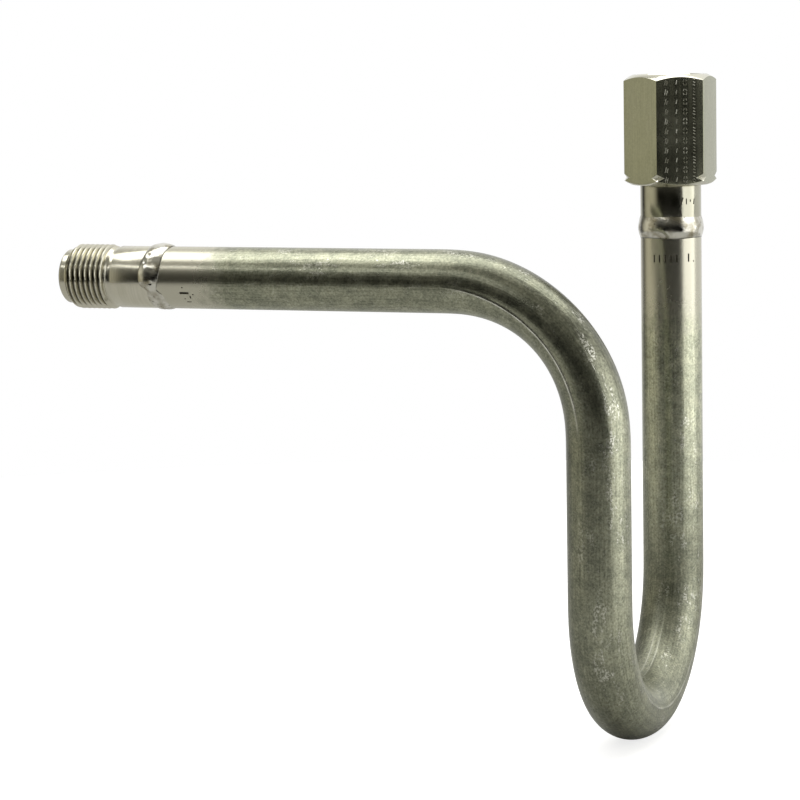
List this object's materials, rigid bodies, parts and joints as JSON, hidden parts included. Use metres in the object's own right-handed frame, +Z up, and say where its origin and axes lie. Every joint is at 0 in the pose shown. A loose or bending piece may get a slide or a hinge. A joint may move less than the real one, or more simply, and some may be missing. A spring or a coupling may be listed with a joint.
{
  "type": "pressure gauge siphon",
  "caption": "U-form siphon tube of bent stainless steel with a male thread inlet, a hanging water-seal loop and a hexagon adjusting nut that takes a pressure gauge.",
  "frame": {"origin": "on the inlet axis, where the inlet thread reaches its full form, 4.3 mm inside the end face", "axes": "+X along the inlet pipe towards the first bend, +Z up along the gauge axis, +Y from the down leg to the up leg"},
  "size_m": [0.1945, 0.1067, 0.213],
  "materials": {
    "pickled_tube": "pickled, matt, handling streaks",
    "turned_steel": "fine turned, bright",
    "weld_metal": "as welded, rippled, bright",
    "nut_steel": "drawn hexagon bar, satin flats"
  },
  "bodies": {
    "siphon": {"siphon_tube": "pickled_tube", "inlet_fitting": "turned_steel", "inlet_weld": "weld_metal", "gauge_weld": "weld_metal", "gauge_fitting": "turned_steel"},
    "nut": {"adjusting_nut": "nut_steel"}
  },
  "joints": [
    {"name": "nut_turn", "type": "hinge", "parent": "siphon", "child": "nut", "pos_m": [0.17667, 0.08, 0.026], "axis": [0, 0, 1], "continuous": true}
  ]
}
